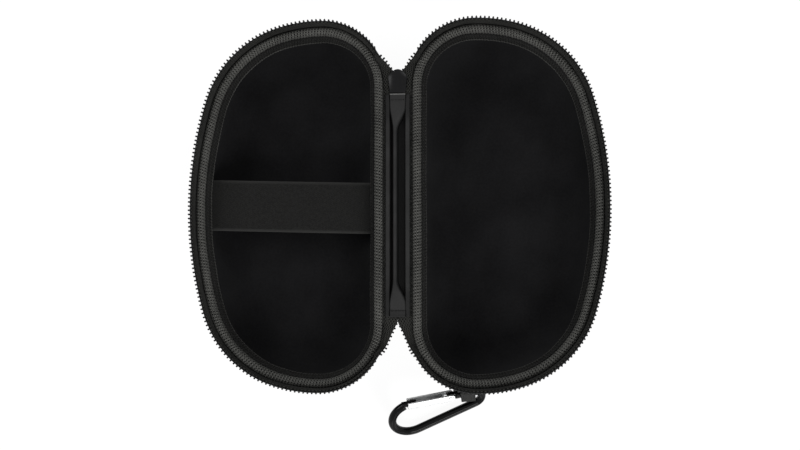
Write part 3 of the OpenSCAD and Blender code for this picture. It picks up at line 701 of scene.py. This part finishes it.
# Along the spine, up from the strip, and the painted highlight on the edge beside the slider
hem_line = (
    (50.6, 0.0, 0),
    (51.1, 0.08, 0),
    (51.6, 0.1, 0),
    (52.4, 0.1, 0),
    (53.1, 0.12, 0),
    (53.5, 0.25, 0),
    (53.7, 0.32, 0.85),
    (53.85, 0.22, 0),
    (54.0, 0.05, 0),
)
hem_stitch = ((0.1, -0.3), (0.3, 0.0), (0.9, 0.07), (1.4, 0.0), (1.6, -0.3))
for end, name in both_ends:
    rows = []
    for x in np.linspace(-3.7, 3.7, 15):
        lift = rim_z + 0.32 + 0.05 * noise.noise(Vector((x, end * 3.0, 1.0)))
        rows.append([(spine_x + x, end * y, z + lift) for y, z, _ in hem_line])
    rows = np.array(rows)
    hem = piece("spine_hem_" + name, rows, *net(rows, False, False), coated)
    # The top hem's edge gets a painted highlight; the bottom hem is darkened a little all over
    marked(hem, "fold", np.tile([edge_highlight if end == 1 else -0.3 for _, _, edge_highlight in hem_line], len(rows)))
    thickened(hem, 0.45)
    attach(hem, "spine")
    parts = []
    for x in np.arange(-3.4, 2.2, 1.7):
        parts.append(tube([(spine_x + x + a, end * 51.0, rim_z + 0.66 + z) for a, z in hem_stitch], 0.14))
    stitches = piece("spine_hem_stitches_" + name, *gathered(parts), thread)
    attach(stitches, "spine")


# Hinge cloth: a narrow fold of the outer cloth between each rim and the spine, sewn down with a zigzag
# seam.
def over_hinge(half, near, far):
    """Start and end, in metres, of a bend between a half and the spine, given in mm for the base."""
    sign = 1 if half == "base" else -1
    return [((spine_x + sign * (x - spine_x)) * mm, 0, rim_z * mm) for x in (near, far)]


hinge_line = (
    (-44.9, 25.75),
    (-45.5, 25.8),
    (-46.1, 25.72),
    (-46.7, 25.68),
    (-47.2, 25.75),
    (-47.9, 25.95),
    (-48.4, 26.05),
)
zig_near, zig_far, zig_step = -46.0, -47.4, 1.3
for half in halves:
    rows = []
    for v in np.linspace(-spine_half - 2.6, spine_half + 2.6, 115):
        wave = 0.05 * noise.noise(Vector((v * 0.15, 1.0, 0.0 if half == "base" else 5.0)))
        rows.append([(x, v, z + wave) for x, z in hinge_line])
    rows = np.array(rows)
    fold = piece(half + "_hinge_cloth", rows, *net(rows, False, False), polyester, half)
    thickened(fold, 0.4)
    start, end = over_hinge(half, -45.9, -47.6)
    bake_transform(fold)
    path = []
    for k in range(int(2 * spine_half / zig_step) - 1):
        v = -spine_half + 0.8 + zig_step * k
        path.append((zig_near if k % 2 else zig_far, v, 26.12))
        path.append(((zig_near + zig_far) / 2, v + zig_step / 2, 26.2))
    seam = piece(half + "_zigzag_seam", *tube(path, 0.17), thread, half)
    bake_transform(seam)

# Ends of the zip: past each end of the spine the tape leaves the rim, lies down flat and runs in to the
# spine, where the two coils meet turn between turn.
flat_z, flat_last, bend_steps = 24.8, 67.01, 14
# How each flat row leaves the spine's middle: start and stop of its turn, the turn's radius, the slope
# after it, and where its tape starts to open
leaving = {"top": (59.5, 66.0, 10, 0.855, 64.0), "bottom": (54.6, 57.85, 8, 0.445, 60.0)}
# The round corner that the tape's sewn edge follows, just inside the rim's
foot_r, foot_z = 29.95, 25.6


def row_out(name, v):
    """How far from the spine's middle a flat row lies, at a distance along the spine."""
    begin, stop, r, slope, _ = leaving[name]
    if v < begin:
        return 0.9
    return 0.9 + r - math.sqrt(r * r - (min(v, stop) - begin) ** 2) + slope * max(0, v - stop)


def on_corner(angle, z):
    """A point of the tape's sewn edge round the corner, by its angle from the hinge side."""
    return np.array([corner_x - foot_r * math.cos(angle), corner_y + foot_r * math.sin(angle), z])


def unit(way):
    return way / np.linalg.norm(way)


for end, name in both_ends:
    for half in halves:
        # Root of the coil, the ways up and out of its turns, and the tape's sewn edge: flat on the spine
        roots, leans, depths, feet = [], [], [], []
        for v in np.arange(spine_half - 0.8, flat_last, 0.5):
            slope = (row_out(name, v + 0.05) - row_out(name, v - 0.05)) / 0.1
            inward = unit(np.array([-1.0, slope, 0.0]))
            roots.append(np.array([spine_x + row_out(name, v), v, flat_z + 0.75]) - coil_h / 2 * inward)
            leans.append(inward)
            depths.append(np.array([0.0, 0.0, -1.0]))
            foot_y = 53.2 + (v - 53.2) * 0.92
            foot_x = corner_x - math.sqrt(foot_r**2 - max(0, foot_y - corner_y) ** 2)
            feet.append(np.array([foot_x, foot_y, foot_z]))
        # Then up onto the rim, in one smooth curve to where the standing row ends
        a, b = roots[-1], root_line[-1]
        reach = np.linalg.norm(b - a)
        leave, arrive = reach * unit(a - roots[-2]), reach * unit(root_line[-2] - b)
        lean, depth = leans[-1], depths[-1]
        foot_a = math.asin((foot_y - corner_y) / foot_r)
        for t in np.arange(1, bend_steps + 1) / bend_steps:
            s = t * t * (3 - 2 * t)
            roots.append((1 - s) * a + (t**3 - 2 * t**2 + t) * leave + s * b + (t**3 - t**2) * arrive)
            flat_share, rim_share = math.cos(s * math.pi / 2), math.sin(s * math.pi / 2)
            leans.append(unit(lean * flat_share + lean_line[-1] * rim_share))
            depths.append(unit(depth * flat_share + depth_line[-1] * rim_share))
            feet.append(on_corner(foot_a * (1 - t) + (math.pi - last) * t, foot_z * (1 - t) + rim_z * t))
        roots, leans, depths, feet = map(np.array, (roots, leans, depths, feet))
        flip = np.array([1, end, 1])
        row = coil_row(roots, leans, depths, first_turn[half], flip)
        coil = piece(f"{half}_coil_end_{name}", *row, nylon, half)
        # The tape runs from its sewn edge to under the coil, and further where the two tapes touch
        shut = np.clip((leaving[name][4] - roots[:, 1]) / 4, 0, 1)[:, None]
        edges = roots + (1.88 + 0.42 * shut) * leans - 0.25 * depths
        share = np.linspace(0, 1, 7)[None, :, None]
        rows = feet[:, None] * (1 - share) + edges[:, None] * share
        rows[..., 2] += 0.25 * np.sin(math.pi * share[..., 0])
        rows = rows * flip
        tape = piece(f"{half}_tape_end_{name}", rows, *net(rows, False, False), herringbone, half)
        thickened(tape, 0.4)
        for part in (coil, tape):
            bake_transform(part)
        if half == "base":
            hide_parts("zip_chain_" + name)


# Slider, arch and pull: die-cast zinc under satin black enamel. The open case shows the slider's inner
# plate, and its arch and the pull are on the outside, underneath.
def coated_metal(name, dark, light, rough, metal=0.0, gloss=0.5, streak=1.0, grain=0.12):
    """Metal with a finish of even colour, a faint unevenness and a soft highlight."""
    made, tree = blank(name)
    where = put(tree, "TexCoord").outputs
    stretch = put(tree, "Mapping", {"Vector": where["Object"], "Scale": (1.0, streak, 1.0)})
    vary = put(tree, "TexNoise", {"Vector": stretch, "Scale": 0.9 / mm, "Detail": 4.0})
    tint = put(tree, "ValToRGB", {0: vary}, stops=((0.0, dark), (1.0, light)))
    rough_map = put(tree, "MapRange", {0: vary, 3: rough * 0.8, 4: rough * 1.2})
    bump = put(tree, "Bump", {"Height": vary, "Strength": grain, "Distance": 0.1 * mm})
    skin = {"Base Color": tint, "Normal": bump, "Roughness": rough_map}
    skin |= {"Metallic": metal, "Specular IOR Level": gloss}
    put(tree, "OutputMaterial", {"Surface": put(tree, "BsdfPrincipled", skin)})
    return made


def bevelled(made, width, steps, angle):
    """Rounds the active piece's edges that turn more than an angle in degrees, by a width in mm."""
    edge = made.modifiers.new("edge", "BEVEL")
    edge.width, edge.segments = width * mm, steps
    edge.limit_method, edge.angle_limit = "ANGLE", math.radians(angle)
    bpy.ops.object.modifier_apply(modifier="edge")


def softened(name, node, finish, body, width):
    """A cast or pressed piece: the solid's own shape with its edges rounded over."""
    made = shown(name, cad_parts[node].data.copy())
    bpy.ops.object.mode_set(mode="EDIT")
    bpy.ops.mesh.select_all(action="SELECT")
    bpy.ops.mesh.remove_doubles(threshold=0.002 * mm)
    bpy.ops.mesh.dissolve_limited(angle_limit=math.radians(0.5))
    bpy.ops.object.mode_set(mode="OBJECT")
    bevelled(made, width, 3, 30)
    bpy.ops.object.shade_smooth_by_angle(angle=math.radians(40))
    made.data.materials.clear()
    made.data.materials.append(finish)
    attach(made, body)
    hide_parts(node)
    return made


# Satin black enamel: an even coat with a small, soft highlight
enamel = coated_metal("satin_black_enamel", "#070708", "#121213", 0.3, gloss=0.12)
slider = softened("zip_slider", "slider_body", enamel, "spine", 0.22)
# The inner plate is cast with a low crown: each step's width in, and its rise
top_z = max(v.co.z for v in slider.data.vertices)
bpy.ops.object.mode_set(mode="EDIT")
bpy.ops.mesh.select_all(action="DESELECT")
bpy.ops.object.mode_set(mode="OBJECT")
for face in slider.data.polygons:
    face.select = face.normal.z > 0.99 and face.center.z > top_z - 0.05 * mm
bpy.ops.object.mode_set(mode="EDIT")
for inset, rise in ((0.4, 0.22), (0.7, 0.28), (0.9, 0.2), (1.0, 0.08)):
    bpy.ops.mesh.inset(thickness=inset * mm, depth=0)
    bpy.ops.transform.translate(value=(0, 0, rise * mm))
bpy.ops.object.mode_set(mode="OBJECT")
# and it swells at its middle, where the two rows run together
low_y, high_y = (limit(v.co.y for v in slider.data.vertices) for limit in (min, max))
for v in slider.data.vertices:
    swell = 0.9 + 0.22 * math.sin(math.pi * (v.co.y - low_y) / (high_y - low_y))
    v.co.x = spine_x * mm + (v.co.x - spine_x * mm) * swell
bpy.ops.object.shade_smooth_by_angle(angle=math.radians(40))
arch = softened("slider_arch", "slider_bail", enamel, "spine", 0.25)
pull = softened("zip_pull", "pull_tab", enamel, "pull", 0.25)

# Webbing loop that holds the clip: black ribbed webbing, 7 mm wide, round the clip's bar, its doubled
# tail sewn to the tape. Its ribs are dull, with a little light on their crowns.
webbing = woven("ribbed_webbing", "#080808", "#343433", 1.3, cross=0.9, rough=0.8, deep=1.0, plain=0.25)
eye = np.array([-19.788, -90.272, 9.113])
loop_r, web_t, loop_w = 4.1, 0.9, 6.9
# In the loop's own plane: its round about the eye, and the tail's foot that its two sides rise to
tail = np.array([0.95, 12.2])
up_a, open_a = math.atan2(tail[1], tail[0]), math.acos(loop_r / np.linalg.norm(tail))
turns = np.linspace(up_a + open_a, up_a + 2 * math.pi - open_a, 25)
profile = [tail + (-0.5, 3.6), tail + (-0.5, 1.8), tail + (-0.55, 0.0)]
profile += [loop_r * np.array([math.cos(a), math.sin(a)]) for a in turns]
profile += [tail + (0.5, 0.0), tail + (0.5, 1.8), tail + (0.5, 3.6)]
loop_yaw = math.radians(4)
wide_way = np.array([math.cos(loop_yaw), math.sin(loop_yaw), 0])
deep_way = np.array([-math.sin(loop_yaw), math.cos(loop_yaw), 0])
rows = []
for y, z in profile:
    row = []
    for w in np.linspace(-loop_w / 2, loop_w / 2, 9):
        curl = 0.06 * (abs(w) / (loop_w / 2)) ** 3
        row.append(eye + w * wide_way + y * deep_way + (0, 0, z + curl))
    rows.append(row)
rows = np.array(rows)
loop = piece("clip_webbing_loop", rows, *net(rows, False, False), webbing)
thickened(loop, web_t)
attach(loop, "base")
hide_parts("carabiner_loop")

# Clip: an aluminium bar bent to an eye, black anodised, with a shallow groove pressed along both flats,
# a bright pressed gate on a rivet, and a spring wire in the gate's channel. Anodising is glossy and
# even, pressed sheet is bright with fine streaks, and the gate's rounded edges are duller, with painted
# shade.
anodised = coated_metal("black_anodised_aluminium", "#050506", "#0a0a0b", 0.1, gloss=0.1, grain=0.0)
bright = coated_metal(
    "bright_pressed_aluminium", "#c4c5c6", "#dcdddd", 0.5, metal=0.95, streak=0.05, grain=0.05
)
# Duller finish for the gate's edges, painted dark as painted shade
gate_edge_shade = coated_metal("dull_edge_painted_shade", "#1c1d1e", "#303132", 0.5, metal=0.3, gloss=0.1)
wire = coated_metal("drawn_spring_wire", "#8b8d8f", "#b4b6b7", 0.3, metal=1.0)
# The clip's own plane, in mm: the long bar along X at -Y, the gate at +Y, its line falling 0.352 in 0.936
bar_r, wide_r, narrow_r = 2.0, 10.0, 4.4
wide_x, long_bar, top_bar = -12.6, 30.8, 11.8
narrow_x, narrow_y = wide_x + long_bar, narrow_r - wide_r
along_gate, off_gate = Vector((-0.936, 0.352, 0)), Vector((0.352, 0.936, 0))
pivot = Vector((narrow_x, narrow_y, 0)) + narrow_r * off_gate + top_bar * along_gate
rise, clip_yaw = math.radians(48), math.radians(24.6)
clip_at = Vector((-35.5, -97.1, bar_r + 0.05 + wide_r * math.sin(rise))) * mm
clip_place = Matrix.Translation(clip_at) @ Matrix.Rotation(clip_yaw, 4, "Z") @ Matrix.Rotation(rise, 4, "X")
gate_turn = Matrix((along_gate, off_gate, (0, 0, 1))).transposed().to_4x4()
gate_place = Matrix.Translation(pivot * mm) @ gate_turn


def joined(body, other, how):
    """Joins a second mesh to the first or cuts it out, and uses it up."""
    joint = body.modifiers.new("joint", "BOOLEAN")
    joint.object, joint.operation, joint.solver = other, how, "EXACT"
    alone(body)
    bpy.ops.object.modifier_apply(modifier="joint")
    bpy.data.objects.remove(other)


def block(size, at):
    """A block of the gate's plane, by its size and middle in mm."""
    bpy.ops.mesh.primitive_cube_add(size=1, scale=[v * mm for v in size], location=[v * mm for v in at])
    bpy.ops.object.transform_apply(location=True, rotation=True, scale=True)
    return bpy.context.object


# Bar: a round section with a groove pressed along both flats, spun and drawn round the eye
start_a = math.radians(92)
out_x, out_y = math.cos(start_a), math.sin(start_a)
bpy.ops.object.select_all(action="DESELECT")
bpy.ops.mesh.primitive_circle_add(vertices=32, radius=bar_r * mm, fill_type="NGON")
frame_bar = bpy.context.object
frame_bar.name = frame_bar.data.name = "clip_frame"
for v in frame_bar.data.vertices:
    if math.degrees(math.atan2(abs(v.co.x), abs(v.co.y))) < 15:
        v.co *= 0.8
stand = Matrix(((out_x, 0, out_y), (out_y, 0, -out_x), (0, 1, 0))).to_4x4()
stand.translation = (wide_x * mm + wide_r * mm * out_x, wide_r * mm * out_y, 0)
frame_bar.data.transform(stand)
wide_middle, narrow_middle = (wide_x * mm, 0, 0), (narrow_x * mm, narrow_y * mm, 0)
last_turn = math.acos(0.352) + math.pi / 2
bpy.ops.object.mode_set(mode="EDIT")
bpy.ops.mesh.select_all(action="SELECT")
bpy.ops.mesh.spin(steps=30, angle=math.radians(178), center=wide_middle, axis=(0, 0, -1))
bpy.ops.mesh.extrude_region_move(TRANSFORM_OT_translate={"value": (long_bar * mm, 0, 0)})
bpy.ops.mesh.spin(steps=24, angle=last_turn, center=narrow_middle, axis=(0, 0, -1))
bpy.ops.mesh.extrude_region_move(TRANSFORM_OT_translate={"value": along_gate * (top_bar - 2.6) * mm})
bpy.ops.mesh.select_all(action="SELECT")
bpy.ops.mesh.remove_doubles(threshold=0.001 * mm)
bpy.ops.mesh.normals_make_consistent(inside=False)
bpy.ops.object.mode_set(mode="OBJECT")
# Knuckle for the rivet at one end of the gate, and the nose's tongue at the other
bpy.ops.mesh.primitive_cylinder_add(vertices=32, radius=1.7 * mm, depth=2 * mm)
knuckle = bpy.context.object
joined(knuckle, block((3.4, 3.4, 1.98), (-1.7, 0, 0)), "UNION")
bpy.ops.mesh.primitive_cylinder_add(vertices=32, radius=0.95 * mm, depth=5 * mm)
joined(knuckle, bpy.context.object, "DIFFERENCE")
tongue = block((7.2, 1.9, 2), (20.8, 0.15, 0))
for part in (knuckle, tongue):
    part.data.transform(gate_place)
    joined(frame_bar, part, "UNION")
bevelled(frame_bar, 0.15, 2, 65)
frame_bar.data.transform(clip_place)
bpy.ops.object.shade_smooth_by_angle(angle=math.radians(35))
frame_bar.data.materials.append(anodised)
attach(frame_bar, "carabiner")
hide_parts("carabiner_frame")

# Gate: a channel folded from bright sheet, its two flanks outlined by painted shade on their duller rounded
# edges, on a bright rivet, with the spring wire inside it
gate = softened("clip_gate", "carabiner_gate", bright, "gate", 0.18)
gate.data.materials.append(gate_edge_shade)
flank_way = clip_place.to_3x3() @ Vector((0, 0, 1))
# Painted shade: faces sloping between a flank and its edge take the dark edge finish
for face in gate.data.polygons:
    if 0.25 < abs(face.normal.dot(flank_way)) < 0.94:
        face.material_index = 1
softened("gate_rivet", "gate_pivot_pin", bright, "gate", 0.2)
softened("gate_spring_wire", "gate_spring", wire, "gate", 0.1)
